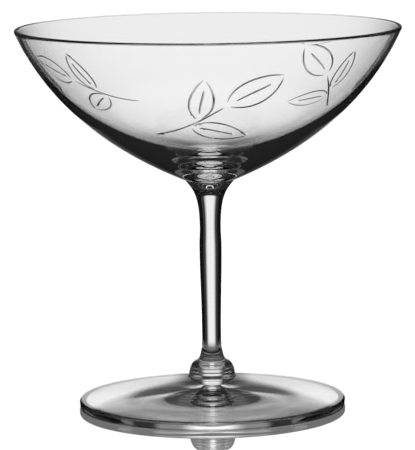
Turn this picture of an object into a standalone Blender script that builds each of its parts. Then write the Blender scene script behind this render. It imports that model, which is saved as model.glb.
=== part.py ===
"""Stemmed sherbet glass of clear crystal, modelled as the four gathers of glass it is made from.

The bowl, the drawn stem, the ringed knop and the foot are turned solids on one upright axis. Each one
meets the next at a flat hot-welded face. The origin is in the middle of the foot, on the table.
"""

import math

import bpy
from mathutils import Vector

MM = 0.001

# Clearance kept at each weld line, so that neighbouring solids never share a face
WELD_GAP = 0.3 * MM

# Bowl: a wide coupe with a rounded lip and a wall that thickens towards its base
RIM_DIAMETER = 112.0 * MM
BOWL_HEIGHT = 44.25 * MM
BOWL_WELD_DIAMETER = 15.2 * MM
RIM_WALL = 1.2 * MM
BASE_WALL = 4.9 * MM
WALL_GROWTH = 2.6
RIM_LEAN = math.radians(24.2)
BASE_SLOPE = math.radians(22.8)
RIM_TENSION = 0.33
BASE_TENSION = 0.395

# Stem: a trumpet flare under the bowl, a slight belly, a waist and a short flare onto the knop
STEM_LENGTH = 52.95 * MM
FLARE_DIAMETER = 10.8 * MM
FLARE_DROP = 2.35 * MM
FLARE_SLOPE = math.radians(56.0)
WELD_TENSION = 0.15
FLARE_TENSION = 0.35
TRUMPET_TENSION = 0.2
NECK_TENSION = 0.57
STEM_NECK_DIAMETER = 6.15 * MM
STEM_NECK_DROP = 14.1 * MM
STEM_BELLY_DIAMETER = 6.5 * MM
STEM_BELLY_DROP = 19.2 * MM
STEM_WAIST_DIAMETER = 5.6 * MM
STEM_WAIST_RISE = 8.6 * MM
KNOP_SEAT_DIAMETER = 8.5 * MM
SEAT_LEAN = math.radians(45.0)
SEAT_TENSION = 0.25

# Knop: a bell-shaped button with fine turned rings above one thin proud bead
KNOP_DIAMETER = 13.6 * MM
KNOP_SHOULDER_HEIGHT = 4.5 * MM
KNOP_UNDER_HEIGHT = 2.95 * MM
KNOP_NECK_HEIGHT = 0.5 * MM
FOOT_SEAT_DIAMETER = 5.1 * MM
BEAD_PROUD = 0.4 * MM
BEAD_HEIGHT = 0.6 * MM
RING_COUNT = 3
RING_PITCH = 0.95 * MM
RING_WIDTH = 0.4 * MM
RING_DEPTH = 0.14 * MM

# Foot: a low cone with a rounded edge, a flat standing ring and a shallow hollow underneath
FOOT_DIAMETER = 77.8 * MM
FOOT_HEIGHT = 5.45 * MM
FOOT_EDGE_HEIGHT = 2.3 * MM
FOOT_TOP_ROUND = 0.7 * MM
FOOT_BOTTOM_ROUND = 0.5 * MM
FOOT_EDGE_SLOPE = math.radians(4.2)
FOOT_CENTRE_SLOPE = math.radians(30.0)
FOOT_EDGE_TENSION = 0.7
FOOT_CENTRE_TENSION = 0.1
STANDING_RING_WIDTH = 1.6 * MM
FOOT_HOLLOW = 1.1 * MM
HOLLOW_ROUNDNESS = 2.0

# Facets round each piece
WIDE_SEGMENTS = 72
NARROW_SEGMENTS = 36

# Levels of the weld lines, stacked up from the table
KNOP_LEVEL = FOOT_HEIGHT + WELD_GAP
KNOP_HEIGHT = KNOP_UNDER_HEIGHT + KNOP_SHOULDER_HEIGHT
STEM_LEVEL = KNOP_LEVEL + KNOP_HEIGHT + WELD_GAP
BOWL_LEVEL = STEM_LEVEL + STEM_LENGTH + WELD_GAP


def bezier(start, start_handle, end_handle, end, steps):
    """Points along a cubic curve in the profile plane, both ends included."""
    points = []
    for step in range(steps + 1):
        t = step / steps
        s = 1.0 - t
        points.append(
            s ** 3 * start + 3 * s * s * t * start_handle + 3 * s * t * t * end_handle + t ** 3 * end
        )
    return points


def arc(centre, radius, first, last, steps):
    """Points along a circular arc from the angle first to the angle last."""
    angles = [first + (last - first) * step / steps for step in range(steps + 1)]
    return [centre + radius * Vector((math.cos(angle), math.sin(angle))) for angle in angles]


def ease(first, last, steps):
    """Points of a soft S from one radius and height to another, upright at both ends."""
    points = []
    for step in range(steps + 1):
        t = step / steps
        blend = t * t * (3.0 - 2.0 * t)
        points.append(Vector((first.x + (last.x - first.x) * blend, first.y + (last.y - first.y) * t)))
    return points


def bowl_profile():
    """Half section of the bowl, from its inside floor over the lip and down the outer wall."""
    lip = RIM_WALL / 2
    inward = Vector((-math.cos(RIM_LEAN), math.sin(RIM_LEAN)))
    rim = Vector((
        RIM_DIAMETER / 2 - lip * (1.0 - math.cos(RIM_LEAN)),
        BOWL_HEIGHT - lip * (1.0 + math.sin(RIM_LEAN)),
    ))
    weld_edge = Vector((BOWL_WELD_DIAMETER / 2, 0.0))
    down_wall = Vector((-math.sin(RIM_LEAN), -math.cos(RIM_LEAN)))
    up_wall = Vector((math.cos(BASE_SLOPE), math.sin(BASE_SLOPE)))
    span = (rim - weld_edge).length
    rim_handle = rim + down_wall * RIM_TENSION * span
    base_handle = weld_edge + up_wall * BASE_TENSION * span
    outer = bezier(rim, rim_handle, base_handle, weld_edge, steps=14)

    inner = []
    for index, point in enumerate(outer):
        before = outer[max(index - 1, 0)]
        after = outer[min(index + 1, len(outer) - 1)]
        along = (after - before).normalized()
        depth_share = index / (len(outer) - 1)
        wall = RIM_WALL + (BASE_WALL - RIM_WALL) * depth_share ** WALL_GROWTH
        inner.append(point + Vector((along.y, -along.x)) * wall)

    floor_edge = inner[-1]
    floor_run = inner[-2] - floor_edge
    floor_slope = floor_run.y / floor_run.x
    floor_drop = floor_slope * floor_edge.x / 2
    floor = []
    for step in range(3):
        share = step / 3
        floor.append(Vector((floor_edge.x * share, floor_edge.y - floor_drop * (1.0 - share ** 2))))

    lip_arc = arc(rim + inward * lip, lip, math.pi - RIM_LEAN, -RIM_LEAN, steps=5)
    return floor + inner[:0:-1] + lip_arc + outer[1:] + [Vector((0.0, 0.0))]


def stem_profile():
    """Half section of the stem, from the weld under the bowl down to the weld on the knop."""
    top = Vector((BOWL_WELD_DIAMETER / 2, STEM_LENGTH))
    flare = Vector((FLARE_DIAMETER / 2, STEM_LENGTH - FLARE_DROP))
    neck = Vector((STEM_NECK_DIAMETER / 2, STEM_LENGTH - STEM_NECK_DROP))
    belly = Vector((STEM_BELLY_DIAMETER / 2, STEM_LENGTH - STEM_BELLY_DROP))
    waist = Vector((STEM_WAIST_DIAMETER / 2, STEM_WAIST_RISE))
    seat = Vector((KNOP_SEAT_DIAMETER / 2, 0.0))

    bowl_line = Vector((math.cos(BASE_SLOPE), math.sin(BASE_SLOPE)))
    flare_line = Vector((math.cos(FLARE_SLOPE), math.sin(FLARE_SLOPE)))
    seat_line = Vector((-math.sin(SEAT_LEAN), math.cos(SEAT_LEAN)))
    upright = Vector((0.0, 1.0))
    fillet_span = (top - flare).length
    trumpet_span = (flare - neck).length
    seat_reach = (waist - seat).length * SEAT_TENSION

    weld_handle = top - bowl_line * fillet_span * WELD_TENSION
    flare_handle = flare + flare_line * fillet_span * FLARE_TENSION
    fillet = bezier(top, weld_handle, flare_handle, flare, steps=4)
    trumpet_handle = flare - flare_line * trumpet_span * TRUMPET_TENSION
    neck_handle = neck + upright * trumpet_span * NECK_TENSION
    trumpet = bezier(flare, trumpet_handle, neck_handle, neck, steps=6)
    shaft = ease(neck, belly, steps=3) + ease(belly, waist, steps=5)[1:]
    lower_flare = bezier(waist, waist - upright * seat_reach, seat + seat_line * seat_reach, seat, steps=6)
    crown = [Vector((0.0, STEM_LENGTH))]
    return crown + fillet + trumpet[1:] + shaft[1:] + lower_flare[1:] + [Vector((0.0, 0.0))]


def knop_radius(height):
    """Radius of the knop at a height above its widest plane, with its rings and bead."""
    widest = KNOP_DIAMETER / 2
    if height >= 0.0:
        end = KNOP_SEAT_DIAMETER / 2
        reach = KNOP_SHOULDER_HEIGHT
    else:
        end = FOOT_SEAT_DIAMETER / 2
        reach = KNOP_UNDER_HEIGHT - KNOP_NECK_HEIGHT
    radius = end + (widest - end) * math.sqrt(max(0.0, 1.0 - (height / reach) ** 2))
    radius += BEAD_PROUD * math.sqrt(max(0.0, 1.0 - (2.0 * height / BEAD_HEIGHT) ** 2))
    for ring in range(1, RING_COUNT + 1):
        distance = abs(height - ring * RING_PITCH)
        radius -= RING_DEPTH * max(0.0, 1.0 - 2.0 * distance / RING_WIDTH)
    return radius


def knop_profile():
    """Half section of the knop, from the weld under the stem down to the weld on the foot."""
    heights = {-KNOP_UNDER_HEIGHT}
    for step in range(7):
        turn = math.pi / 2 * step / 6
        heights.add(KNOP_SHOULDER_HEIGHT * math.sin(turn))
        heights.add((KNOP_NECK_HEIGHT - KNOP_UNDER_HEIGHT) * math.sin(turn))
    for side in (-1.0, -0.6, 0.0, 0.6, 1.0):
        heights.add(side * BEAD_HEIGHT / 2)
    for ring in range(1, RING_COUNT + 1):
        for side in (-0.5, 0.0, 0.5):
            heights.add(ring * RING_PITCH + side * RING_WIDTH)
    side_points = [
        Vector((knop_radius(height), height + KNOP_UNDER_HEIGHT)) for height in sorted(heights, reverse=True)
    ]
    return [Vector((0.0, KNOP_HEIGHT))] + side_points + [Vector((0.0, 0.0))]


def foot_profile():
    """Half section of the foot, from the weld under the knop over the edge to the hollow underneath."""
    edge_radius = FOOT_DIAMETER / 2
    seat = Vector((FOOT_SEAT_DIAMETER / 2, FOOT_HEIGHT))
    top_centre = Vector((edge_radius - FOOT_TOP_ROUND, FOOT_EDGE_HEIGHT - FOOT_TOP_ROUND))
    bottom_centre = Vector((edge_radius - FOOT_BOTTOM_ROUND, FOOT_BOTTOM_ROUND))
    top_round = arc(top_centre, FOOT_TOP_ROUND, math.pi / 2 - FOOT_EDGE_SLOPE, 0.0, steps=4)
    bottom_round = arc(bottom_centre, FOOT_BOTTOM_ROUND, 0.0, -math.pi / 2, steps=3)
    centre_line = Vector((math.cos(FOOT_CENTRE_SLOPE), -math.sin(FOOT_CENTRE_SLOPE)))
    edge_line = Vector((math.cos(FOOT_EDGE_SLOPE), -math.sin(FOOT_EDGE_SLOPE)))
    span = (top_round[0] - seat).length
    centre_handle = seat + centre_line * FOOT_CENTRE_TENSION * span
    edge_handle = top_round[0] - edge_line * FOOT_EDGE_TENSION * span
    slope = bezier(seat, centre_handle, edge_handle, top_round[0], steps=8)
    hollow_radius = bottom_centre.x - STANDING_RING_WIDTH
    hollow = []
    for step in range(5):
        share = 1.0 - step / 4
        hollow.append(Vector((hollow_radius * share, FOOT_HOLLOW * (1.0 - share ** HOLLOW_ROUNDNESS))))
    return [Vector((0.0, FOOT_HEIGHT))] + slope + top_round[1:] + bottom_round + hollow


def crystal(name, tint):
    """Clear polished crystal with a faint tint."""
    material = bpy.data.materials.new(name)
    material.use_nodes = True
    shader = material.node_tree.nodes["Principled BSDF"]
    shader.inputs["Base Color"].default_value = (*tint, 1.0)
    shader.inputs["Roughness"].default_value = 0.03
    shader.inputs["Metallic"].default_value = 0.0
    shader.inputs["Transmission Weight"].default_value = 1.0
    shader.inputs["IOR"].default_value = 1.52
    return material


def turned_piece(name, profile, segments, level, material, parent, collection):
    """Turn a half section about the upright axis and stand it at its level."""
    mesh = bpy.data.meshes.new(name)
    edges = [(index, index + 1) for index in range(len(profile) - 1)]
    mesh.from_pydata([(point.x, 0.0, point.y) for point in profile], edges, [])
    mesh.materials.append(material)
    piece = bpy.data.objects.new(name, mesh)
    collection.objects.link(piece)
    piece.parent = parent
    piece.location = (0.0, 0.0, level)
    screw = piece.modifiers.new("Turn", "SCREW")
    screw.axis = "Z"
    screw.angle = math.tau
    screw.steps = segments
    screw.render_steps = segments
    screw.use_merge_vertices = True
    screw.merge_threshold = 0.01 * MM
    screw.use_smooth_shade = True
    return piece


def main():
    """Clear the scene and build the glass."""
    for old in list(bpy.data.objects):
        bpy.data.objects.remove(old, do_unlink=True)
    collection = bpy.data.collections.new("sherbet_glass")
    bpy.context.scene.collection.children.link(collection)
    stand = bpy.data.objects.new("glass_axis", None)
    collection.objects.link(stand)

    clear = (0.96, 0.97, 0.97)
    cool = (0.93, 0.95, 0.95)
    pieces = (
        ("foot", foot_profile(), WIDE_SEGMENTS, 0.0, clear),
        ("knop", knop_profile(), NARROW_SEGMENTS, KNOP_LEVEL, cool),
        ("stem", stem_profile(), NARROW_SEGMENTS, STEM_LEVEL, cool),
        ("bowl", bowl_profile(), WIDE_SEGMENTS, BOWL_LEVEL, clear),
    )
    for name, profile, segments, level, tint in pieces:
        turned_piece(name, profile, segments, level, crystal(f"{name}_crystal", tint), stand, collection)


main()
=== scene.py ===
"""Studio picture of a stemmed sherbet glass in clear cut crystal.

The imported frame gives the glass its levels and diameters. Each gather of glass is turned again here with
a fine outline, the bowl is cut with leaf sprigs, and the glass stands on a pale glossy table against a
bright card in a dark room, which draws its edges in black.
"""

import logging
import math
from dataclasses import dataclass
from enum import Enum

import bpy
from mathutils import Euler, Matrix, Vector


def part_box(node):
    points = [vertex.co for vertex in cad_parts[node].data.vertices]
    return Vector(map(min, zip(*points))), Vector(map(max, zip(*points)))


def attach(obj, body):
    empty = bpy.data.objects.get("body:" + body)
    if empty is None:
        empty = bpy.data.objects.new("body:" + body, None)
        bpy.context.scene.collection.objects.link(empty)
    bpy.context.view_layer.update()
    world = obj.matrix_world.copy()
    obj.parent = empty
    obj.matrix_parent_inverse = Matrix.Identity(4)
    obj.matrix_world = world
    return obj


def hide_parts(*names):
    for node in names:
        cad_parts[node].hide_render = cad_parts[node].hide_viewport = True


MM = 0.001
WHITE = (1.0, 1.0, 1.0, 1.0)
LOG = logging.getLogger("sherbet_glass")

# The two ends of a stretch, a reach or a change
Span = tuple[float, float]

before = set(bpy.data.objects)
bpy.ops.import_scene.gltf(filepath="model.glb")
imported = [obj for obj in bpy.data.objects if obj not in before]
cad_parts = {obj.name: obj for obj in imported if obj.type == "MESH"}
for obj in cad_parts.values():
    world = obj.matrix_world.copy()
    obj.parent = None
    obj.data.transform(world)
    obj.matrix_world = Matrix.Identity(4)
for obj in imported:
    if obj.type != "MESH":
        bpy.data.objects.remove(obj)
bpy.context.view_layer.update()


class Gather(Enum):
    """The gathers of glass, by the names of their solids."""

    BOWL = "bowl"
    STEM = "stem"
    KNOP = "knop"
    FOOT = "foot"


class Layer(Enum):
    """The finishes of the glass, by the names of their materials."""

    POLISHED = "polished_crystal"
    JOINT = "fused_joint"
    CUT = "wheel_cut_crystal"


def bezier(start: Vector, start_handle: Vector, end_handle: Vector, end: Vector, steps: int) -> list[Vector]:
    """Points along a cubic curve.

    Args:
        start: First point.
        start_handle: Handle that the curve leaves the first point towards.
        end_handle: Handle that the curve reaches the last point from.
        end: Last point.
        steps: Number of stretches between the points.

    Returns:
        The points, both ends included.
    """
    points = []
    for step in range(steps + 1):
        t = step / steps
        s = 1.0 - t
        points.append(
            s ** 3 * start + 3 * s * s * t * start_handle + 3 * s * t * t * end_handle + t ** 3 * end
        )
    return points


def arc(centre: Vector, radius: float, first: float, last: float, steps: int) -> list[Vector]:
    """Points along a circular arc in the profile plane.

    Args:
        centre: Centre of the arc.
        radius: Radius of the arc.
        first: Angle of the first point, in radians.
        last: Angle of the last point, in radians.
        steps: Number of stretches between the points.

    Returns:
        The points, both ends included.
    """
    angles = [first + (last - first) * step / steps for step in range(steps + 1)]
    return [centre + radius * heading(angle) for angle in angles]


def ease(first: Vector, last: Vector, steps: int) -> list[Vector]:
    """Points of a soft S between two radii, upright at both ends.

    Args:
        first: Upper radius and height.
        last: Lower radius and height.
        steps: Number of stretches between the points.

    Returns:
        The points, both ends included.
    """
    points = []
    for step in range(steps + 1):
        t = step / steps
        blend = t * t * (3.0 - 2.0 * t)
        points.append(Vector((first.x + (last.x - first.x) * blend, first.y + (last.y - first.y) * t)))
    return points


def heading(angle: float) -> Vector:
    """Unit direction at an angle in the profile plane."""
    return Vector((math.cos(angle), math.sin(angle)))


def select_only(piece: bpy.types.Object) -> None:
    """Select one object and make it the active one.

    Args:
        piece: The object.
    """
    bpy.ops.object.select_all(action="DESELECT")
    piece.select_set(True)
    bpy.context.view_layer.objects.active = piece


class Lathe:
    """Turns half sections into closed solids of revolution."""

    start_size = 10 * MM
    merge_distance = 0.0005 * MM
    crease = math.radians(32.0)

    def turn(self, name: str, outline: list[Vector], segments: int) -> bpy.types.Object:
        """Draw an outline beside the axis and spin it round.

        Args:
            name: Name of the new piece.
            outline: Radius and height of each point, from the axis round the section to the axis.
            segments: Number of facets round the piece.

        Returns:
            The turned piece, smooth, with its faces outwards.
        """
        bpy.ops.object.select_all(action="DESELECT")
        bpy.ops.mesh.primitive_plane_add(size=self.start_size)
        piece = bpy.context.object
        piece.name = name
        piece.data.name = name
        bpy.ops.object.mode_set(mode="EDIT")
        bpy.ops.mesh.merge(type="CENTER")
        bpy.ops.transform.translate(value=(outline[0].x, 0.0, outline[0].y))
        for before, after in zip(outline, outline[1:]):
            move = after - before
            bpy.ops.mesh.extrude_region_move(TRANSFORM_OT_translate={"value": (move.x, 0.0, move.y)})
        bpy.ops.mesh.select_all(action="SELECT")
        bpy.ops.mesh.spin(steps=segments, angle=math.tau, center=(0.0, 0.0, 0.0), axis=(0.0, 0.0, 1.0))
        self.close()
        self.smooth(piece)
        return piece

    def close(self) -> None:
        """Merge the doubles of the mesh in edit mode, turn its faces outwards and leave edit mode."""
        bpy.ops.mesh.select_all(action="SELECT")
        bpy.ops.mesh.remove_doubles(threshold=self.merge_distance)
        bpy.ops.mesh.normals_make_consistent(inside=False)
        bpy.ops.object.mode_set(mode="OBJECT")

    def smooth(self, piece: bpy.types.Object) -> None:
        """Shade a piece smooth except at its creases."""
        select_only(piece)
        bpy.ops.object.shade_smooth_by_angle(angle=self.crease)


class Wiring:
    """Adds and joins shader nodes in one node tree."""

    def __init__(self, tree: bpy.types.NodeTree) -> None:
        """Keep the tree to work on."""
        self.tree = tree

    def feed(self, node: bpy.types.Node, inputs: dict) -> None:
        """Fill a node's inputs.

        Args:
            node: The node.
            inputs: Values for its inputs, or the sockets that feed them.
        """
        for name, value in inputs.items():
            if isinstance(value, bpy.types.NodeSocket):
                self.tree.links.new(value, node.inputs[name])
            else:
                node.inputs[name].default_value = value

    def add(self, kind: str, inputs: dict, **settings: object) -> bpy.types.Node:
        """Add a node.

        Args:
            kind: Type of the node.
            inputs: Values for its inputs, or the sockets that feed them.
            settings: Values for the node's own settings.

        Returns:
            The node.
        """
        node = self.tree.nodes.new(kind)
        for name, value in settings.items():
            setattr(node, name, value)
        self.feed(node, inputs)
        return node

    def place(self) -> bpy.types.NodeSocket:
        """Place on the surface, along the object's own axes."""
        return self.add("ShaderNodeTexCoord", {}).outputs["Object"]

    def maths(self, operation: str, first: object, second: object) -> bpy.types.NodeSocket:
        """Result of a sum on two values or sockets."""
        return self.add("ShaderNodeMath", {0: first, 1: second}, operation=operation).outputs[0]

    def ramp(self, value: object, span: Span, low: object, high: object) -> bpy.types.NodeSocket:
        """Smooth step of a value.

        Args:
            value: The value or socket.
            span: Where the step starts and ends.
            low: Result before the step.
            high: Result after the step.

        Returns:
            The socket with the result.
        """
        inputs = {"Value": value, "From Min": span[0], "From Max": span[1], "To Min": low, "To Max": high}
        return self.add("ShaderNodeMapRange", inputs, interpolation_type="SMOOTHSTEP").outputs["Result"]

    def choose(self, test: object, no: object, yes: object) -> bpy.types.NodeSocket:
        """One value where a test is 0 and another where it is 1."""
        return self.ramp(test, (0.0, 1.0), no, yes)


def new_finish(name: str) -> tuple[bpy.types.Material, Wiring, bpy.types.Node]:
    """Start a finish of the glass.

    Args:
        name: Name of the material.

    Returns:
        The material, the wiring of its nodes and its shader.
    """
    material = bpy.data.materials.new(name)
    material.use_nodes = True
    tree = material.node_tree
    return material, Wiring(tree), tree.nodes["Principled BSDF"]


def bare_wiring(owner: bpy.types.Material | bpy.types.World) -> Wiring:
    """Clear a material or a world of its nodes.

    Args:
        owner: The material or the world.

    Returns:
        The wiring of its empty node tree.
    """
    owner.use_nodes = True
    owner.node_tree.nodes.clear()
    return Wiring(owner.node_tree)


@dataclass(frozen=True)
class PolishedCrystal:
    """Clear polished crystal with the slight unevenness of hand work.

    Attributes:
        tint: Colour that the glass lets through.
        ior: Index of refraction.
        polish: Least roughness, where the surface is bright.
        haze: Most roughness, where the surface holds a little bloom.
        haze_scale: Patches of bloom per metre.
        haze_detail: Fineness of the patches' edges.
        haze_onset: Strength of the patches between which the bloom sets in.
        ripple_scale: Ripples per metre.
        ripple_detail: Fineness of the ripples.
        ripple_height: Height of the ripples.
    """

    tint: tuple[float, float, float] = (0.99, 0.99, 0.99)
    ior: float = 1.52
    polish: float = 0.007
    haze: float = 0.013
    haze_scale: float = 60.0
    haze_detail: float = 3.0
    haze_onset: Span = (0.45, 0.75)
    ripple_scale: float = 45.0
    ripple_detail: float = 1.0
    ripple_height: float = 0.02 * MM

    def make(self, name: str) -> bpy.types.Material:
        """Build the finish.

        Args:
            name: Name of the material.

        Returns:
            The material.
        """
        material, wiring, shader = new_finish(name)
        place = wiring.place()
        patches = {"Vector": place, "Scale": self.haze_scale, "Detail": self.haze_detail}
        bloom = {
            "Value": wiring.add("ShaderNodeTexNoise", patches).outputs["Fac"],
            "From Min": self.haze_onset[0],
            "From Max": self.haze_onset[1],
            "To Min": self.polish,
            "To Max": self.haze,
        }
        waves = {"Vector": place, "Scale": self.ripple_scale, "Detail": self.ripple_detail}
        ripple = {
            "Strength": 1.0,
            "Distance": self.ripple_height,
            "Height": wiring.add("ShaderNodeTexNoise", waves).outputs["Fac"],
        }
        wiring.feed(shader, {
            "Base Color": (*self.tint, 1.0),
            "Transmission Weight": 1.0,
            "IOR": self.ior,
            "Roughness": wiring.add("ShaderNodeMapRange", bloom).outputs["Result"],
            "Normal": wiring.add("ShaderNodeBump", ripple).outputs["Normal"],
        })
        return material


@dataclass(frozen=True)
class WheelCut:
    """Ground glass left by the cutting wheel, matt and finely scratched.

    Attributes:
        tint: Grey that the glass lets through, painted shade that darkens the cut lines.
        ior: Index of refraction.
        roughness: Mean roughness of the ground surface.
        grain_scale: Scratches per metre.
        grain_height: Depth of the scratches.
    """

    # The grey tint is painted shade: clear cut glass shows dark lines only by how it bends the light
    tint: tuple[float, float, float] = (0.4, 0.4, 0.4)
    ior: float = 1.52
    roughness: float = 0.12
    grain_scale: float = 4000.0
    grain_height: float = 0.01 * MM

    def make(self, name: str) -> bpy.types.Material:
        """Build the finish.

        Args:
            name: Name of the material.

        Returns:
            The material.
        """
        material, wiring, shader = new_finish(name)
        scratches = {"Vector": wiring.place(), "Scale": self.grain_scale}
        grain = {
            "Distance": self.grain_height,
            "Height": wiring.add("ShaderNodeTexNoise", scratches).outputs["Fac"],
        }
        wiring.feed(shader, {
            "Base Color": (*self.tint, 1.0),
            "Transmission Weight": 1.0,
            "IOR": self.ior,
            "Roughness": self.roughness,
            "Normal": wiring.add("ShaderNodeBump", grain).outputs["Normal"],
        })
        return material


@dataclass(frozen=True)
class FusedJoint:
    """The face inside the glass where two gathers are welded, which light passes unbent."""

    def make(self, name: str) -> bpy.types.Material:
        """Build the finish.

        Args:
            name: Name of the material.

        Returns:
            The material.
        """
        material, wiring, shader = new_finish(name)
        wiring.feed(shader, {"Alpha": 0.0})
        return material


@dataclass(frozen=True)
class Levels:
    """Heights of the weld lines and of the rim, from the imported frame.

    Attributes:
        foot_top: Weld between the foot and the knop.
        knop_top: Weld between the knop and the stem.
        stem_top: Weld between the stem and the bowl.
        rim: Top of the lip.
    """

    foot_top: float
    knop_top: float
    stem_top: float
    rim: float

    @classmethod
    def from_frame(cls) -> "Levels":
        """Read the levels.

        Returns:
            The levels, each weld in the middle of the gap between two solids.
        """
        boxes = {gather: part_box(gather.value) for gather in Gather}

        def between(lower: Gather, upper: Gather) -> float:
            """Middle of the gap between two stacked solids."""
            return (boxes[lower][1].z + boxes[upper][0].z) / 2

        return cls(
            foot_top=between(Gather.FOOT, Gather.KNOP),
            knop_top=between(Gather.KNOP, Gather.STEM),
            stem_top=between(Gather.STEM, Gather.BOWL),
            rim=boxes[Gather.BOWL][1].z,
        )


@dataclass
class Bowl:
    """The blown coupe, thin at its lip and thick at its base.

    Attributes:
        rim_radius: Outer radius of the lip.
        rim_level: Top of the lip.
        weld_level: Height of the weld on the stem.
        weld_radius: Radius of the weld on the stem.
        rim_wall: Wall at the lip.
        base_wall: Wall at the base.
        wall_growth: How late the wall thickens on its way down.
        rim_lean: Lean of the wall from upright at the lip.
        base_slope: Slope of the underside at the weld.
        rim_tension: Pull of the lip's direction on the curve, as a share of its span.
        base_tension: Pull of the base's direction on the curve, as a share of its span.
        segments: Facets round the bowl.
        wall_steps: Stretches down the wall.
        floor_steps: Stretches across the inside floor.
        lip_steps: Stretches round the lip.
    """

    rim_radius: float
    rim_level: float
    weld_level: float
    weld_radius: float = 7.6 * MM
    rim_wall: float = 1.2 * MM
    base_wall: float = 4.9 * MM
    wall_growth: float = 2.6
    rim_lean: float = math.radians(24.2)
    base_slope: float = math.radians(22.8)
    rim_tension: float = 0.33
    base_tension: float = 0.395
    segments: int = 288
    wall_steps: int = 110
    floor_steps: int = 14
    lip_steps: int = 14

    def outer(self) -> list[Vector]:
        """Draw the outer wall.

        Returns:
            Its points from the lip down to the weld.
        """
        lip = self.rim_wall / 2
        rim = Vector((
            self.rim_radius - lip * (1.0 - math.cos(self.rim_lean)),
            self.rim_level - lip * (1.0 + math.sin(self.rim_lean)),
        ))
        weld = Vector((self.weld_radius, self.weld_level))
        span = (rim - weld).length
        down_wall = heading(-math.pi / 2 - self.rim_lean)
        rim_handle = rim + down_wall * self.rim_tension * span
        base_handle = weld + heading(self.base_slope) * self.base_tension * span
        return bezier(rim, rim_handle, base_handle, weld, self.wall_steps)

    def inner(self) -> list[Vector]:
        """Set the inner wall off from the outer wall.

        Returns:
            Its points from the lip down to the floor's edge.
        """
        outer = self.outer()
        points = []
        for index, point in enumerate(outer):
            before = outer[max(index - 1, 0)]
            after = outer[min(index + 1, len(outer) - 1)]
            along = (after - before).normalized()
            share = index / (len(outer) - 1)
            wall = self.rim_wall + (self.base_wall - self.rim_wall) * share ** self.wall_growth
            points.append(point + Vector((along.y, -along.x)) * wall)
        return points

    def outline(self) -> list[Vector]:
        """Draw the half section.

        Returns:
            Its points from the inside floor over the lip and down to the weld.
        """
        outer = self.outer()
        inner = self.inner()
        edge = inner[-1]
        run = inner[-2] - edge
        drop = run.y / run.x * edge.x / 2
        floor = []
        for step in range(self.floor_steps):
            share = step / self.floor_steps
            floor.append(Vector((edge.x * share, edge.y - drop * (1.0 - share ** 2))))
        lip = self.rim_wall / 2
        centre = outer[0] + heading(math.pi - self.rim_lean) * lip
        lip_arc = arc(centre, lip, math.pi - self.rim_lean, -self.rim_lean, self.lip_steps)
        return floor + inner[:0:-1] + lip_arc + outer[1:] + [Vector((0.0, self.weld_level))]

    def build(self, lathe: Lathe) -> bpy.types.Object:
        """Turn the bowl."""
        return lathe.turn("crystal_bowl", self.outline(), self.segments)


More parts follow.
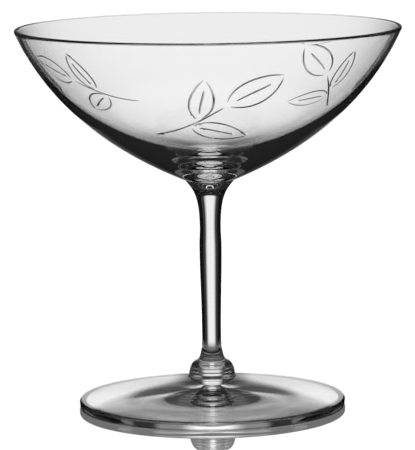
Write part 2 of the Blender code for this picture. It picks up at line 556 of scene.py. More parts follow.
@dataclass
class Stem:
    """The drawn stem: trumpet flare, slight belly, waist and short lower flare.

    Attributes:
        top_level: Height of the weld under the bowl.
        bottom_level: Height of the weld on the knop.
        weld_radius: Radius of the weld under the bowl.
        weld_slope: Slope of the bowl's underside, which the flare carries on.
        flare_radius: Radius where the fillet runs into the trumpet.
        flare_drop: Depth of that place under the bowl's solid.
        flare_slope: Slope of the stem there.
        weld_tension: Pull of the bowl's line on the fillet.
        flare_tension: Pull of the flare's line on the fillet.
        trumpet_tension: Pull of the flare's line on the trumpet.
        neck_tension: Pull of the upright neck on the trumpet.
        neck_radius: Least radius under the flare.
        neck_drop: Depth of the neck.
        belly_radius: Radius of the belly.
        belly_drop: Depth of the belly.
        waist_radius: Least radius above the knop.
        waist_rise: Height of the waist above the stem's foot.
        seat_radius: Radius of the weld on the knop.
        seat_lean: Lean of the stem from upright at the knop.
        seat_tension: Pull of both ends on the lower flare.
        segments: Facets round the stem.
        fillet_steps: Stretches down the fillet.
        trumpet_steps: Stretches down the trumpet.
        belly_steps: Stretches from the neck to the belly.
        waist_steps: Stretches from the belly to the waist.
        seat_steps: Stretches down the lower flare.
    """

    top_level: float
    bottom_level: float
    weld_radius: float
    weld_slope: float
    flare_radius: float = 5.4 * MM
    flare_drop: float = 2.5 * MM
    flare_slope: float = math.radians(56.0)
    weld_tension: float = 0.15
    flare_tension: float = 0.35
    trumpet_tension: float = 0.2
    neck_tension: float = 0.57
    neck_radius: float = 3.075 * MM
    neck_drop: float = 14.25 * MM
    belly_radius: float = 3.25 * MM
    belly_drop: float = 19.35 * MM
    waist_radius: float = 2.8 * MM
    waist_rise: float = 8.75 * MM
    seat_radius: float = 4.25 * MM
    seat_lean: float = math.radians(45.0)
    seat_tension: float = 0.25
    segments: int = 128
    fillet_steps: int = 14
    trumpet_steps: int = 24
    belly_steps: int = 12
    waist_steps: int = 24
    seat_steps: int = 20

    def outline(self) -> list[Vector]:
        """Draw the half section.

        Returns:
            Its points from the weld under the bowl down to the weld on the knop.
        """
        top = Vector((self.weld_radius, self.top_level))
        flare = Vector((self.flare_radius, self.top_level - self.flare_drop))
        neck = Vector((self.neck_radius, self.top_level - self.neck_drop))
        belly = Vector((self.belly_radius, self.top_level - self.belly_drop))
        waist = Vector((self.waist_radius, self.bottom_level + self.waist_rise))
        seat = Vector((self.seat_radius, self.bottom_level))
        upright = heading(math.pi / 2)
        fillet_span = (top - flare).length
        trumpet_span = (flare - neck).length
        seat_reach = (waist - seat).length * self.seat_tension
        fillet = bezier(
            top,
            top - heading(self.weld_slope) * fillet_span * self.weld_tension,
            flare + heading(self.flare_slope) * fillet_span * self.flare_tension,
            flare,
            self.fillet_steps,
        )
        trumpet = bezier(
            flare,
            flare - heading(self.flare_slope) * trumpet_span * self.trumpet_tension,
            neck + upright * trumpet_span * self.neck_tension,
            neck,
            self.trumpet_steps,
        )
        shaft = ease(neck, belly, self.belly_steps) + ease(belly, waist, self.waist_steps)[1:]
        lower_flare = bezier(
            waist,
            waist - upright * seat_reach,
            seat + heading(math.pi / 2 + self.seat_lean) * seat_reach,
            seat,
            self.seat_steps,
        )
        crown = [Vector((0.0, self.top_level))]
        sole = [Vector((0.0, self.bottom_level))]
        return crown + fillet + trumpet[1:] + shaft[1:] + lower_flare[1:] + sole

    def build(self, lathe: Lathe) -> bpy.types.Object:
        """Turn the stem."""
        return lathe.turn("crystal_stem", self.outline(), self.segments)


@dataclass
class Knop:
    """The bell-shaped button with fine turned rings above one proud bead.

    Attributes:
        top_level: Height of the weld under the stem.
        bottom_level: Height of the weld on the foot.
        seat_radius: Radius of the weld under the stem.
        bead_radius: Radius of the bead, the widest place.
        neck_radius: Radius of the weld on the foot.
        bead_proud: How far the bead stands out.
        bead_height: Height of the bead.
        under_height: Height of the widest plane above the weld on the foot.
        neck_height: Height of the short neck on the foot.
        ring_count: Number of fine rings.
        ring_pitch: Step from ring to ring.
        ring_width: Width of a ring's groove.
        ring_depth: Depth of a ring's groove.
        mark_reach: Heights above the widest plane between which the tool left fine marks.
        mark_pitch: Step from mark to mark.
        mark_depth: Depth of a mark.
        segments: Facets round the knop.
        turn_steps: Stretches from the widest plane to each end.
        bead_steps: Stretches over the bead.
    """

    top_level: float
    bottom_level: float
    seat_radius: float
    bead_radius: float
    neck_radius: float = 2.55 * MM
    bead_proud: float = 0.4 * MM
    bead_height: float = 0.6 * MM
    under_height: float = 3.1 * MM
    neck_height: float = 0.65 * MM
    ring_count: int = 3
    ring_pitch: float = 0.95 * MM
    ring_width: float = 0.5 * MM
    ring_depth: float = 0.12 * MM
    mark_reach: Span = (0.5 * MM, 4.4 * MM)
    mark_pitch: float = 0.5 * MM
    mark_depth: float = 0.03 * MM
    segments: int = 128
    turn_steps: int = 110
    bead_steps: int = 12

    def shoulder(self) -> float:
        """Height of the weld under the stem above the widest plane."""
        return self.top_level - self.bottom_level - self.under_height

    def radius(self, height: float) -> float:
        """Radius at a height above the widest plane.

        Args:
            height: Height above the widest plane, in metres.

        Returns:
            The radius there, with the rings, the tool marks and the bead.
        """
        widest = self.bead_radius - self.bead_proud
        if height >= 0.0:
            end = self.seat_radius
            reach = self.shoulder()
        else:
            end = self.neck_radius
            reach = self.under_height - self.neck_height
        radius = end + (widest - end) * math.sqrt(max(0.0, 1.0 - (height / reach) ** 2))
        radius += self.bead_proud * math.sqrt(max(0.0, 1.0 - (2.0 * height / self.bead_height) ** 2))
        for ring in range(1, self.ring_count + 1):
            distance = abs(height - ring * self.ring_pitch)
            if distance < self.ring_width / 2:
                radius -= self.ring_depth * (1.0 + math.cos(math.tau * distance / self.ring_width)) / 2
        if self.mark_reach[0] < height < self.mark_reach[1]:
            turn = math.tau * (height - self.mark_reach[0]) / self.mark_pitch
            radius -= self.mark_depth * (1.0 - math.cos(turn)) / 2
        return radius

    def outline(self) -> list[Vector]:
        """Draw the half section.

        Returns:
            Its points from the weld under the stem down to the weld on the foot.
        """
        heights = {-self.under_height}
        for step in range(self.turn_steps + 1):
            angle = math.pi / 2 * step / self.turn_steps
            heights.add(self.shoulder() * math.sin(angle))
            heights.add((self.neck_height - self.under_height) * math.sin(angle))
        for step in range(self.bead_steps + 1):
            angle = math.pi * step / self.bead_steps
            heights.add(self.bead_height / 2 * math.cos(angle))
        middle = self.bottom_level + self.under_height
        side = [Vector((self.radius(height), middle + height)) for height in sorted(heights, reverse=True)]
        return [Vector((0.0, self.top_level))] + side + [Vector((0.0, self.bottom_level))]

    def build(self, lathe: Lathe) -> bpy.types.Object:
        """Turn the knop."""
        return lathe.turn("crystal_knop", self.outline(), self.segments)


@dataclass
class Foot:
    """The low conical foot with a rounded edge, a standing ring and a shallow hollow.

    Attributes:
        edge_radius: Outer radius.
        seat_level: Height of the weld under the knop.
        seat_radius: Radius of the weld under the knop.
        edge_height: Height of the edge.
        top_round: Radius of the edge's upper corner.
        bottom_round: Radius of the edge's lower corner.
        edge_slope: Slope of the top beside the edge.
        centre_slope: Slope of the top beside the knop.
        edge_tension: Pull of the edge's slope on the top's curve.
        centre_tension: Pull of the centre's slope on the top's curve.
        ring_width: Width of the flat standing ring.
        hollow: Depth of the hollow at its middle.
        hollow_roundness: Form of the hollow, from 1 for a cone to 2 for a bowl.
        segments: Facets round the foot.
        top_steps: Stretches down the top.
        top_round_steps: Stretches round the edge's upper corner.
        bottom_round_steps: Stretches round the edge's lower corner.
        hollow_steps: Stretches across the hollow.
    """

    edge_radius: float
    seat_level: float
    seat_radius: float
    edge_height: float = 2.3 * MM
    top_round: float = 0.7 * MM
    bottom_round: float = 0.5 * MM
    edge_slope: float = math.radians(4.2)
    centre_slope: float = math.radians(30.0)
    edge_tension: float = 0.7
    centre_tension: float = 0.1
    ring_width: float = 1.6 * MM
    hollow: float = 1.1 * MM
    hollow_roundness: float = 2.0
    segments: int = 288
    top_steps: int = 50
    top_round_steps: int = 12
    bottom_round_steps: int = 10
    hollow_steps: int = 24

    def outline(self) -> list[Vector]:
        """Draw the half section.

        Returns:
            Its points from the weld under the knop over the edge to the middle of the hollow.
        """
        seat = Vector((self.seat_radius, self.seat_level))
        top_centre = Vector((self.edge_radius - self.top_round, self.edge_height - self.top_round))
        bottom_centre = Vector((self.edge_radius - self.bottom_round, self.bottom_round))
        corner_start = math.pi / 2 - self.edge_slope
        top_corner = arc(top_centre, self.top_round, corner_start, 0.0, self.top_round_steps)
        bottom_corner = arc(bottom_centre, self.bottom_round, 0.0, -math.pi / 2, self.bottom_round_steps)
        span = (top_corner[0] - seat).length
        top = bezier(
            seat,
            seat + heading(-self.centre_slope) * self.centre_tension * span,
            top_corner[0] - heading(-self.edge_slope) * self.edge_tension * span,
            top_corner[0],
            self.top_steps,
        )
        hollow_radius = bottom_centre.x - self.ring_width
        under = []
        for step in range(self.hollow_steps + 1):
            share = 1.0 - step / self.hollow_steps
            height = self.hollow * (1.0 - share ** self.hollow_roundness)
            under.append(Vector((hollow_radius * share, height)))
        crown = [Vector((0.0, self.seat_level))]
        return crown + top + top_corner[1:] + bottom_corner + under

    def build(self, lathe: Lathe) -> bpy.types.Object:
        """Turn the foot."""
        return lathe.turn("crystal_foot", self.outline(), self.segments)


@dataclass(frozen=True)
class Leaf:
    """A pointed leaf outlined by two cuts, with a cut midrib.

    A share along the leaf is a part of its length, and a share across it is a part of its width.

    Attributes:
        base: Place of the leaf's base, along and up the wall.
        angle: Direction of the leaf.
        length: Length from base to tip.
        width: Width between the handles of its two edges.
        base_gap: Share across from the middle to each edge's start.
        base_handle: Shares along and across of an edge's handle near the base.
        tip_handle: Shares along and across of an edge's handle near the tip.
        tip_cross: Share along by which one edge runs past the tip and the other stops short.
        rib_span: Shares along between which the midrib runs.
        rib_pull: Share along from the midrib's start to its first handle.
        rib_bow: Share across by which the midrib bows.
        edge_steps: Stretches along an edge.
        rib_steps: Stretches along the midrib.
    """

    base: Vector
    angle: float
    length: float
    width: float
    base_gap: float = 0.06
    base_handle: Span = (0.22, 0.66)
    tip_handle: Span = (0.72, 0.52)
    tip_cross: float = 0.02
    rib_span: Span = (0.12, 0.74)
    rib_pull: float = 0.2
    rib_bow: float = 0.06
    edge_steps: int = 30
    rib_steps: int = 20

    def strokes(self) -> list[list[Vector]]:
        """Draw the leaf on the unrolled wall.

        Returns:
            Points of the two edges and of the midrib.
        """
        along = heading(self.angle) * self.length
        across = heading(self.angle + math.pi / 2) * self.width
        tip = self.base + along
        runs = []
        for side in (1.0, -1.0):
            start = self.base + across * side * self.base_gap
            first = self.base + along * self.base_handle[0] + across * side * self.base_handle[1]
            second = self.base + along * self.tip_handle[0] + across * side * self.tip_handle[1]
            end = tip + along * side * self.tip_cross
            runs.append(bezier(start, first, second, end, self.edge_steps))
        rib_start = self.base + along * self.rib_span[0]
        rib_end = self.base + along * self.rib_span[1]
        bow = across * self.rib_bow
        rib_handle = rib_start + along * self.rib_pull + bow
        runs.append(bezier(rib_start, rib_handle, rib_end - bow, rib_end, self.rib_steps))
        return runs


@dataclass
class SprigCutting:
    """Leaf sprigs cut into the outside of the bowl with a small wheel.

    Attributes:
        bowl: The bowl that is cut.
        bearings: Bearing of each sprig's middle, from the front and to the right.
        middle_drop: Way down the wall from the lip to the sprig's middle.
        wheel_radius: Radius of the wheel's rounded edge.
        wheel_facets: Fineness of the wheel's rounded edge.
        cut_depth: Depth of a cut at its middle.
        cut_evenness: How evenly deep a cut is, from 1 for a sine to 0 for one depth all along.
        end_lift: Share of the depth by which the wheel lifts clear at a cut's ends.
        stalk_steps: Stretches along the stalk.
    """

    bowl: Bowl
    bearings: tuple[float, ...] = tuple(math.radians(degrees) for degrees in (2.0, 122.0, 242.0))
    middle_drop: float = 22.0 * MM
    wheel_radius: float = 0.36 * MM
    wheel_facets: int = 2
    cut_depth: float = 0.24 * MM
    cut_evenness: float = 0.6
    end_lift: float = 0.15
    stalk_steps: int = 30

    def strokes(self) -> list[list[Vector]]:
        """Draw one sprig on the unrolled wall.

        Returns:
            Points of each cut, along the wall and up it from the sprig's middle.
        """
        stalk_start = Vector((-17.0 * MM, -11.0 * MM))
        start_pull = Vector((7.0 * MM, 0.5 * MM))
        end_pull = Vector((-6.0 * MM, -5.0 * MM))
        stalk_end = Vector((3.0 * MM, 1.0 * MM))
        start_handle = stalk_start + start_pull
        end_handle = stalk_end + end_pull
        stalk = bezier(stalk_start, start_handle, end_handle, stalk_end, self.stalk_steps)
        lower_joint = stalk[15]
        upper_joint = stalk[19]
        end_leaf = Leaf(
            base=stalk_end + Vector((0.8, 0.6)) * MM,
            angle=math.radians(32.0),
            length=19.0 * MM,
            width=9.5 * MM,
        )
        upper_leaf = Leaf(
            base=upper_joint + Vector((-0.4, 0.9)) * MM,
            angle=math.radians(84.0),
            length=15.0 * MM,
            width=7.5 * MM,
        )
        lower_leaf = Leaf(
            base=lower_joint + Vector((0.6, -0.7)) * MM,
            angle=math.radians(-18.0),
            length=16.0 * MM,
            width=8.0 * MM,
        )
        runs = [stalk]
        for leaf in (end_leaf, upper_leaf, lower_leaf):
            runs.extend(leaf.strokes())
        return runs

    def on_wall(self, along: float, drop: float, bearing: float) -> tuple[Vector, Vector]:
        """Place on the bowl's outer wall.

        Args:
            along: Way round the wall from the bearing, in metres.
            drop: Way down the wall from the lip, in metres.
            bearing: Bearing of the sprig's middle, in radians.

        Returns:
            The point and the outward direction there.
        """
        walked = 0.0
        outer = self.bowl.outer()
        for before, after in zip(outer, outer[1:]):
            step = (after - before).length
            if walked + step >= drop:
                share = (drop - walked) / step
                place = before.lerp(after, share)
                down = (after - before).normalized()
                break
            walked += step
        turn = bearing + along / place.x
        round_axis = Vector((math.sin(turn), -math.cos(turn), 0.0))
        point = round_axis * place.x + Vector((0.0, 0.0, place.y))
        outward = round_axis * -down.y + Vector((0.0, 0.0, down.x))
        return point, outward

    def wheel_path(self, run: list[Vector], bearing: float) -> list[Vector]:
        """Path of the wheel's centre along a cut, sinking in and lifting out.

        Args:
            run: The cut on the unrolled wall.
            bearing: Bearing of the sprig's middle.

        Returns:
            Points of the path.
        """
        path = []
        for index, place in enumerate(run):
            share = index / (len(run) - 1)
            sink = math.sin(math.pi * share) ** self.cut_evenness
            bite = sink * (1.0 + self.end_lift) - self.end_lift
            point, outward = self.on_wall(place.x, self.middle_drop - place.y, bearing)
            path.append(point + outward * (self.wheel_radius - self.cut_depth * bite))
        return path

    def wheel(self, lathe: Lathe) -> bpy.types.Object:
        """Make the body that the wheel sweeps on all of its paths.

        Args:
            lathe: The lathe, which closes the mesh.

        Returns:
            The swept body.
        """
        curve = bpy.data.curves.new("wheel_paths", "CURVE")
        curve.dimensions = "3D"
        curve.bevel_depth = self.wheel_radius
        curve.bevel_resolution = self.wheel_facets
        curve.use_fill_caps = True
        for bearing in self.bearings:
            for run in self.strokes():
                path = self.wheel_path(run, bearing)
                spline = curve.splines.new("POLY")
                spline.points.add(len(path) - 1)
                for point, place in zip(spline.points, path):
                    point.co = (*place, 1.0)
        wheel = bpy.data.objects.new("wheel_paths", curve)
        bpy.context.collection.objects.link(wheel)
        select_only(wheel)
        bpy.ops.object.convert(target="MESH")
        wheel = bpy.context.object
        bpy.ops.object.mode_set(mode="EDIT")
        lathe.close()
        return wheel

    def cut(self, piece: bpy.types.Object, finish: bpy.types.Material, lathe: Lathe) -> None:
        """Cut the sprigs into the turned bowl.

        Args:
            piece: The bowl's mesh.
            finish: Finish of the ground cuts.
            lathe: The lathe, which closes and smooths the meshes.
        """
        wheel = self.wheel(lathe)
        wheel.data.materials.clear()
        wheel.data.materials.append(finish)
        select_only(piece)
        boolean = piece.modifiers.new("Wheel cuts", "BOOLEAN")
        boolean.operation = "DIFFERENCE"
        boolean.solver = "EXACT"
        boolean.material_mode = "TRANSFER"
        boolean.object = wheel
        bpy.ops.object.modifier_apply(modifier=boolean.name)
        bpy.data.objects.remove(wheel, do_unlink=True)
        lathe.smooth(piece)


@dataclass
class Dressing:
    """Gives the turned pieces their finishes and ties them to the frame.

    Attributes:
        finishes: The finishes, in the order of the material slots.
        joint_tolerance: How near a face must lie to a weld level to be part of the weld.
        level_normal: Least upright part of the normal of a level face.
    """

    finishes: dict[Layer, bpy.types.Material]
    joint_tolerance: float = 0.001 * MM
    level_normal: float = 0.999

    def dress(self, piece: bpy.types.Object, gather: Gather, welds: tuple[float, ...]) -> None:
        """Set a piece's materials, bind it to its body and hide the solid that it stands for.

        Args:
            piece: The turned piece.
            gather: The gather of glass that it stands for.
            welds: Levels of the piece's weld faces.
        """
        for finish in self.finishes.values():
            if finish.name not in piece.data.materials:
                piece.data.materials.append(finish)
        joint = piece.data.materials.find(self.finishes[Layer.JOINT].name)
        for polygon in piece.data.polygons:
            level = abs(polygon.normal.z) > self.level_normal
            if level and any(abs(polygon.center.z - weld) < self.joint_tolerance for weld in welds):
                polygon.material_index = joint
        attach(piece, "root")
        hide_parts(gather.value)
        LOG.info("%s: %d faces", piece.name, len(piece.data.polygons))


class Ray:
    """What is known of a ray of light where it meets the studio.

    Attributes:
        wiring: Wiring of the material or world that the ray meets.
        path: Outputs that tell the ray's path.
        seen: 1 where the ray comes straight from the camera, and 0 elsewhere.
        off_mirror: 1 where the ray comes straight off the table's mirror, and 0 elsewhere.
    """

    def __init__(self, wiring: Wiring) -> None:
        """Read the ray's path.

        Args:
            wiring: Wiring of the material or world that the ray meets.
        """
        self.wiring = wiring
        self.path = wiring.add("ShaderNodeLightPath", {}).outputs
        self.seen = self.path["Is Camera Ray"]
        self.off_mirror = self.path["Is Singular Ray"]

    def passed(self, faces: int) -> bpy.types.NodeSocket:
        """1 where the ray has passed at least this many faces of glass, and 0 elsewhere."""
        return self.wiring.maths("GREATER_THAN", self.path["Transmission Depth"], faces - 0.5)

    def turned(self, times: int) -> bpy.types.NodeSocket:
        """1 where the ray has been reflected at least this many times, and 0 elsewhere."""
        return self.wiring.maths("GREATER_THAN", self.path["Glossy Depth"], times - 0.5)


def stage_sheet(name: str, corners: list[tuple[float, float, float]]) -> bpy.types.Object:
    """A flat sheet with four corners.

    Args:
        name: Name of the sheet.
        corners: Its corners in order.

    Returns:
        The sheet.
    """
    bpy.ops.object.select_all(action="DESELECT")
    bpy.ops.mesh.primitive_plane_add(size=1.0)
    sheet = bpy.context.object
    sheet.name = name
    round_the_edge = (0, 1, 3, 2)
    for index, corner in zip(round_the_edge, corners):
        sheet.data.vertices[index].co = corner
    return sheet


@dataclass
class Table:
    """The pale tabletop, which mirrors at a low angle and shows its white from above. Behind the glass that
    white is painted dark, as shade, by the ray's path and angle.

    A facing value is 0 where a ray meets the table from straight above and 1 where it skims it. Glass is
    solid where a ray has passed two faces of it, and thin where it has passed more, as behind the bowl.

    Attributes:
        reach: From the glass's axis to the table's edges.
        polish_reach: Distances from the axis between which the table's polish fades out.
        seen_mirror: Facing between which the camera sees the table's mirror.
        seen_share: Most that the camera sees of it.
        thin_sheen: Facing between which the table's sheen sets in behind thin glass.
        thin_share: Most of that sheen.
        thin_mirror: Facing between which that sheen turns to a mirror.
        solid_sheen: Facing between which the sheen sets in behind solid glass.
        solid_share: Most of that sheen.
        open_mirror: Facing between which it turns to a mirror beyond the foot.
        covered_mirror: Facing between which it turns to a mirror under the foot.
        covered_reach: Distances from the axis between which the foot stops covering the table.
        white: The table's white.
        dark: The white that is left where it is painted dark as shade.
        thin_white: Facing between which the white is painted dark, as shade, behind thin glass.
        solid_white: Facing between which the white is painted dark, as shade, behind solid glass.
        turned_white: The white in light turned inside the glass.
        thin_turned_white: The same white, painted near black as shade, in light that skims the table behind
            thin glass.
        foot_reach: Distances from the axis between which the foot's underside ends.
        stem_reach: Distances from the axis between which the bowl's base shows the covered table.
        base_reach: Distances from the axis between which the bowl's base shows the open table.
        base_white: Facing between which the bowl's base loses the open table's white to painted shade.
        steep_white: Facing between which light turned inside the glass loses the white below it to painted
            shade.
        lift_reach: Distances from the axis between which the table's glow eases off.
        seen_lift: The table's glow to the camera, near the glass and far from it.
        turned_lift: The glow under the stem in light turned often inside the bowl's base.
        covered_lift: The glow under the foot.
        covered_white: Facing between which that glow goes dark behind solid glass.
        covered_thin_white: Facing between which that glow goes dark behind thin glass.
    """

    reach: float = 3.0
    polish_reach: Span = (0.0595, 0.085)
    seen_mirror: Span = (0.735, 0.79)
    seen_share: float = 0.83
    thin_sheen: Span = (0.36, 0.5)
    thin_share: float = 0.22
    thin_mirror: Span = (0.5, 0.72)
    solid_sheen: Span = (0.5, 0.64)
    solid_share: float = 0.1
    open_mirror: Span = (0.67, 0.79)
    covered_mirror: Span = (0.845, 0.9)
    covered_reach: Span = (0.021, 0.027)
    white: float = 0.9
    dark: float = 0.15
    thin_white: Span = (0.34, 0.46)
    solid_white: Span = (0.54, 0.66)
    turned_white: float = 0.8
    thin_turned_white: float = 0.05
    foot_reach: Span = (0.036, 0.042)
    stem_reach: Span = (0.02, 0.03)
    base_reach: Span = (0.065, 0.095)
    base_white: Span = (0.3, 0.42)
    steep_white: Span = (0.4, 0.55)
    lift_reach: Span = (0.05, 0.4)
    seen_lift: Span = (0.36, 0.2)
    turned_lift: float = 0.8
    covered_lift: float = 0.75
    covered_white: Span = (0.44, 0.56)
    covered_thin_white: Span = (0.2, 0.3)

    def finish(self) -> bpy.types.Material:
        """Build the table's finish.

        Returns:
            The material.
        """
        material = bpy.data.materials.new("tabletop")
        wiring = bare_wiring(material)
        ramp = wiring.ramp
        choose = wiring.choose
        ray = Ray(wiring)
        through_glass = ray.passed(2)
        thin = ray.passed(3)
        turned = ray.turned(1)
        turned_often = ray.turned(2)
        facing = wiring.add("ShaderNodeLayerWeight", {"Blend": 0.5}).outputs["Facing"]
        place = wiring.place()
        distance = wiring.add("ShaderNodeVectorMath", {0: place}, operation="LENGTH").outputs["Value"]

        # Share of the mirror, by what the ray has come through
        polish = ramp(distance, self.polish_reach, 1.0, 0.0)
        seen_mirror = wiring.maths("MULTIPLY", ramp(facing, self.seen_mirror, 0.0, self.seen_share), polish)
        thin_sheen = ramp(facing, self.thin_sheen, 0.0, self.thin_share)
        thin_mirror = ramp(facing, self.thin_mirror, thin_sheen, 1.0)
        solid_sheen = ramp(facing, self.solid_sheen, 0.0, self.solid_share)
        open_mirror = ramp(facing, self.open_mirror, solid_sheen, 1.0)
        covered_mirror = ramp(facing, self.covered_mirror, solid_sheen, 1.0)
        solid_mirror = ramp(distance, self.covered_reach, covered_mirror, open_mirror)
        bent_mirror = choose(thin, solid_mirror, thin_mirror)
        mirror_share = choose(ray.seen, bent_mirror, seen_mirror)

        # The table's white, painted dark as shade by what the ray has come through and how steeply it meets
        # the table; the camera sees the plain white
        thin_white = ramp(facing, self.thin_white, self.white, self.dark)
        solid_white = ramp(facing, self.solid_white, self.white, self.dark)
        straight_shade_painted_white = choose(thin, solid_white, thin_white)
        # For light turned inside the glass the table is white only near the axis and under the foot;
        # elsewhere, and in reflections off the glass, it is painted dark as shade
        under_foot = ramp(distance, self.foot_reach, self.turned_white, 0.0)
        under_foot = wiring.maths("MULTIPLY", through_glass, under_foot)
        low_shade_painted_white = choose(thin, under_foot, self.thin_turned_white)
        open_white = ramp(distance, self.base_reach, self.turned_white, 0.0)
        open_white = ramp(facing, self.base_white, open_white, 0.0)
        open_white = wiring.maths("MULTIPLY", through_glass, open_white)
        base_white = choose(thin, open_white, low_shade_painted_white)
        below = ramp(distance, self.stem_reach, self.turned_white, base_white)
        turned_white = ramp(facing, self.steep_white, below, low_shade_painted_white)
        shade_painted_white = choose(turned, straight_shade_painted_white, turned_white)
        white = choose(ray.seen, shade_painted_white, self.white)

        # The table's glow, which clears the shade that the glass would throw on it
        seen_lift = ramp(distance, self.lift_reach, *self.seen_lift)
        below_lift = ramp(distance, self.stem_reach, self.turned_lift, 0.0)
        below_lift = wiring.maths("MULTIPLY", wiring.maths("MULTIPLY", turned_often, thin), below_lift)
        below_lift = ramp(facing, self.steep_white, below_lift, 0.0)
        covered = ramp(distance, self.foot_reach, self.covered_lift, 0.0)
        covered = wiring.maths("MULTIPLY", through_glass, covered)
        thin_lift = ramp(facing, self.covered_thin_white, covered, 0.0)
        solid_lift = ramp(facing, self.covered_white, covered, 0.0)
        covered_lift = choose(thin, solid_lift, thin_lift)
        bent_lift = choose(turned, covered_lift, below_lift)
        lift = choose(ray.seen, bent_lift, seen_lift)

        diffuse = wiring.add("ShaderNodeBsdfDiffuse", {"Color": white}).outputs["BSDF"]
        glow = wiring.add("ShaderNodeEmission", {"Strength": lift}).outputs["Emission"]
        base = wiring.add("ShaderNodeAddShader", {0: diffuse, 1: glow}).outputs["Shader"]
        mirror = wiring.add("ShaderNodeBsdfGlossy", {"Roughness": 0.0, "Color": WHITE}).outputs["BSDF"]
        mix = wiring.add("ShaderNodeMixShader", {0: mirror_share, 1: base, 2: mirror}).outputs["Shader"]
        wiring.add("ShaderNodeOutputMaterial", {"Surface": mix})
        return material

    def build(self) -> None:
        """Lay the table under the glass."""
        near = -self.reach
        far = self.reach
        table = stage_sheet("table", [(near, near, 0), (far, near, 0), (far, far, 0), (near, far, 0)])
        table.data.materials.append(self.finish())


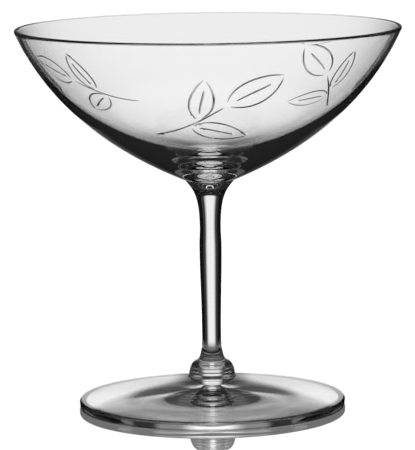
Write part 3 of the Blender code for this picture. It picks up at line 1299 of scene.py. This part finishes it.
@dataclass
class Card:
    """The bright card behind the glass, whose light falls off to the top and the sides.

    Attributes:
        distance: From the glass's axis to the card.
        half_width: Half the width of the bright part at the table.
        top_half_width: Half the width of the bright part at the top.
        height: Height above the table.
        light: Strength of the full light.
        least_share: Share of the light that is left where it has fallen off.
        bowl_fade: Heights between which the light falls off through the bowl.
        solid_share: Share of the light that solid glass shows.
        stripe_fade: Ways to the side between which the light falls off through solid glass.
        stripe_share: Share of the light that is left there.
        single_turn: Ways to the side between which light turned once in solid glass falls off.
        single_turn_height: Heights between which it falls off.
        single_turn_share: Share of the light that is left there.
        near_turns: Ways to the side between which light turned often falls off first.
        near_turns_share: Share of the light that is left there.
        dark_turns: Ways to the side between which it goes dark.
        dark_turns_share: Share of the light that is left there.
        far_turns: Ways to the side between which it comes back.
        far_turns_share: Share of the light that comes back.
        glint_fade: Heights between which the light falls off in reflections on the glass.
        glint_slope: Rise of the reflected card's edge for each metre to the side.
        glint_edge: Heights over that edge between which the reflected card falls off.
        glint_reach: Ways to the side between which that edge gives way to the plain fall-off.
        glint_middle: Ways to the side between which the reflected card sets in.
        glint_middle_share: Share of the reflected card that is there before that.
    """

    distance: float = 0.38
    half_width: float = 0.098
    top_half_width: float = 0.22
    height: float = 0.24
    light: float = 1.06
    least_share: float = 0.1
    bowl_fade: Span = (0.09, 0.2)
    solid_share: float = 0.88
    stripe_fade: Span = (0.06, 0.15)
    stripe_share: float = 0.04
    single_turn: Span = (0.012, 0.03)
    single_turn_height: Span = (0.06, 0.08)
    single_turn_share: float = 0.02
    near_turns: Span = (0.02, 0.06)
    near_turns_share: float = 0.25
    dark_turns: Span = (0.09, 0.115)
    dark_turns_share: float = 0.03
    far_turns: Span = (0.16, 0.178)
    far_turns_share: float = 0.15
    glint_fade: Span = (0.03, 0.07)
    glint_slope: float = 1.6
    glint_edge: Span = (-0.004, 0.016)
    glint_reach: Span = (0.065, 0.09)
    glint_middle: Span = (0.01, 0.02)
    glint_middle_share: float = 0.4

    def finish(self) -> bpy.types.Material:
        """Build the card's finish.

        Returns:
            The material.
        """
        material = bpy.data.materials.new("bright_card")
        wiring = bare_wiring(material)
        ramp = wiring.ramp
        choose = wiring.choose
        ray = Ray(wiring)
        thin = ray.passed(3)
        turned = ray.turned(1)
        turned_often = ray.turned(2)
        spot = wiring.add("ShaderNodeSeparateXYZ", {"Vector": wiring.place()}).outputs
        height = spot["Z"]
        side = wiring.maths("ABSOLUTE", spot["X"], 0.0)
        full = self.light
        least = full * self.least_share

        # The bright part, which widens to the top
        widening = (self.top_half_width - self.half_width) / self.height
        edge = wiring.maths("ADD", wiring.maths("MULTIPLY", height, widening), self.half_width)
        on_card = wiring.maths("LESS_THAN", side, edge)

        # Straight through the glass
        bowl_light = wiring.maths("MULTIPLY", ramp(height, self.bowl_fade, full, least), on_card)
        solid_fade = (self.bowl_fade[1], self.height)
        solid_light = ramp(height, solid_fade, full * self.solid_share, least)
        solid_light = ramp(side, self.stripe_fade, solid_light, full * self.stripe_share)
        straight = choose(thin, solid_light, bowl_light)

        # Turned back inside solid glass
        once_least = full * self.single_turn_share
        once = ramp(height, self.single_turn_height, full, once_least)
        once = ramp(side, self.single_turn, once, once_least)
        in_solid = wiring.maths("SUBTRACT", turned, wiring.maths("MAXIMUM", thin, ray.off_mirror))
        bent = choose(wiring.maths("GREATER_THAN", in_solid, 0.5), straight, once)
        often = ramp(side, self.near_turns, full, full * self.near_turns_share)
        often = ramp(side, self.dark_turns, often, full * self.dark_turns_share)
        often = ramp(side, self.far_turns, often, full * self.far_turns_share)
        bent = choose(turned_often, bent, often)

        # Reflected on the outside, or in the table alone
        over = wiring.maths("SUBTRACT", height, wiring.maths("MULTIPLY", side, self.glint_slope))
        near_glint = ramp(over, self.glint_edge, full, least)
        setting_in = ramp(side, self.glint_middle, self.glint_middle_share, 1.0)
        near_glint = wiring.maths("MULTIPLY", near_glint, setting_in)
        far_glint = ramp(height, self.glint_fade, full, least)
        glint = ramp(side, self.glint_reach, near_glint, far_glint)
        outside = wiring.maths("MULTIPLY", choose(ray.off_mirror, glint, full), on_card)

        light = choose(ray.passed(1), outside, bent)
        glow = wiring.add("ShaderNodeEmission", {"Strength": light}).outputs["Emission"]
        wiring.add("ShaderNodeOutputMaterial", {"Surface": glow})
        return material

    def build(self, camera: bpy.types.Object) -> None:
        """Stand the card behind the glass.

        Args:
            camera: The camera, which the card always faces across the glass.
        """
        back = self.distance
        wide = self.top_half_width
        top = self.height
        card = stage_sheet("card", [(-wide, back, 0), (wide, back, 0), (wide, back, top), (-wide, back, top)])
        card.data.materials.append(self.finish())
        card.visible_camera = False
        card.visible_diffuse = False
        card.visible_shadow = False
        bpy.ops.object.select_all(action="DESELECT")
        bpy.ops.object.empty_add()
        turntable = bpy.context.object
        turntable.name = "turntable"
        card.parent = turntable
        turn = turntable.constraints.new("LOCKED_TRACK")
        turn.target = camera
        turn.track_axis = "TRACK_NEGATIVE_Y"
        turn.lock_axis = "LOCK_Z"


@dataclass
class Room:
    """The dark room with one soft lamp, which the camera sees as white.

    Attributes:
        lamp_strength: Strength of the soft lamp overhead.
        lamp_spread: Angle that the soft lamp fills.
        lamp_height: Height of the lamp's mark in the scene.
        light: Strength of the room's own light on the glass.
        turned_light: The same in light turned three times or more inside the glass.
        glossy_bounces: Most reflections on one path of light.
        most_bounces: Most bounces on one path of light.
    """

    lamp_strength: float = 3.3
    lamp_spread: float = math.radians(70.0)
    lamp_height: float = 1.0
    light: float = 0.006
    turned_light: float = 0.018
    glossy_bounces: int = 64
    most_bounces: int = 96

    def lamp(self) -> None:
        """Hang the soft lamp, which the glass itself doesn't show."""
        bpy.ops.object.light_add(type="SUN", location=(0.0, 0.0, self.lamp_height))
        lamp = bpy.context.object
        lamp.name = "soft_lamp"
        lamp.data.energy = self.lamp_strength
        lamp.data.angle = self.lamp_spread
        lamp.visible_glossy = False
        lamp.visible_transmission = False

    def walls(self) -> None:
        """Make the walls, white to the camera and dark to the glass."""
        world = bpy.data.worlds.new("room")
        bpy.context.scene.world = world
        wiring = bare_wiring(world)
        ray = Ray(wiring)
        strength = wiring.choose(ray.turned(3), self.light, self.turned_light)
        strength = wiring.choose(ray.seen, strength, 1.0)
        glow = wiring.add("ShaderNodeBackground", {"Color": WHITE, "Strength": strength})
        wiring.add("ShaderNodeOutputWorld", {"Surface": glow.outputs["Background"]})

    def build(self) -> None:
        """Light the room and let light pass many faces of glass."""
        self.lamp()
        self.walls()
        paths = bpy.context.scene.cycles
        paths.glossy_bounces = self.glossy_bounces
        paths.transmission_bounces = self.most_bounces
        paths.max_bounces = self.most_bounces
        paths.transparent_max_bounces = self.most_bounces


@dataclass
class Camera:
    """The photograph's long-lens view, a little above the rim.

    Attributes:
        distance: From the glass's axis to the lens.
        height: Height of the lens above the table.
        side: Sideways place of the lens.
        pitch: Tilt below the level.
        roll: Turn about the line of sight.
        lens_mm: Focal length.
        sensor_mm: Long side of the picture behind the lens.
    """

    distance: float = 955.1 * MM
    height: float = 189.4 * MM
    side: float = -0.80 * MM
    pitch: float = math.radians(8.119)
    roll: float = math.radians(-0.72)
    lens_mm: float = 265.1
    sensor_mm: float = 36.0

    def build(self) -> bpy.types.Object:
        """Set up the scene's camera.

        Returns:
            The camera.
        """
        bpy.ops.object.select_all(action="DESELECT")
        bpy.ops.object.camera_add(location=(self.side, -self.distance, self.height))
        camera = bpy.context.object
        camera.name = "long_lens"
        tilt = Euler((math.pi / 2 - self.pitch, 0.0, 0.0)).to_matrix()
        camera.rotation_euler = (tilt @ Matrix.Rotation(self.roll, 3, "Z")).to_euler()
        camera.data.sensor_width = self.sensor_mm
        camera.data.lens = self.lens_mm
        bpy.context.scene.camera = camera
        return camera


def main() -> None:
    """Build the glass and its studio."""
    logging.basicConfig(level=logging.INFO, format="%(name)s: %(message)s")
    levels = Levels.from_frame()
    lathe = Lathe()
    finishes = {
        Layer.POLISHED: PolishedCrystal().make(Layer.POLISHED.value),
        Layer.JOINT: FusedJoint().make(Layer.JOINT.value),
        Layer.CUT: WheelCut().make(Layer.CUT.value),
    }
    dressing = Dressing(finishes)

    bowl = Bowl(
        rim_radius=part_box("bowl")[1].x,
        rim_level=levels.rim,
        weld_level=levels.stem_top,
    )
    bowl_piece = bowl.build(lathe)
    bowl_piece.data.materials.append(finishes[Layer.POLISHED])
    SprigCutting(bowl).cut(bowl_piece, finishes[Layer.CUT], lathe)
    dressing.dress(bowl_piece, Gather.BOWL, (levels.stem_top,))

    stem = Stem(
        top_level=levels.stem_top,
        bottom_level=levels.knop_top,
        weld_radius=bowl.weld_radius,
        weld_slope=bowl.base_slope,
    )
    dressing.dress(stem.build(lathe), Gather.STEM, (levels.stem_top, levels.knop_top))

    knop = Knop(
        top_level=levels.knop_top,
        bottom_level=levels.foot_top,
        seat_radius=stem.seat_radius,
        bead_radius=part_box("knop")[1].x,
    )
    dressing.dress(knop.build(lathe), Gather.KNOP, (levels.knop_top, levels.foot_top))

    foot = Foot(
        edge_radius=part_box("foot")[1].x,
        seat_level=levels.foot_top,
        seat_radius=knop.neck_radius,
    )
    dressing.dress(foot.build(lathe), Gather.FOOT, (levels.foot_top,))

    camera = Camera().build()
    Table().build()
    Card().build(camera)
    Room().build()
    bpy.context.scene.view_settings.view_transform = "Standard"


if __name__ == "__main__":
    main()
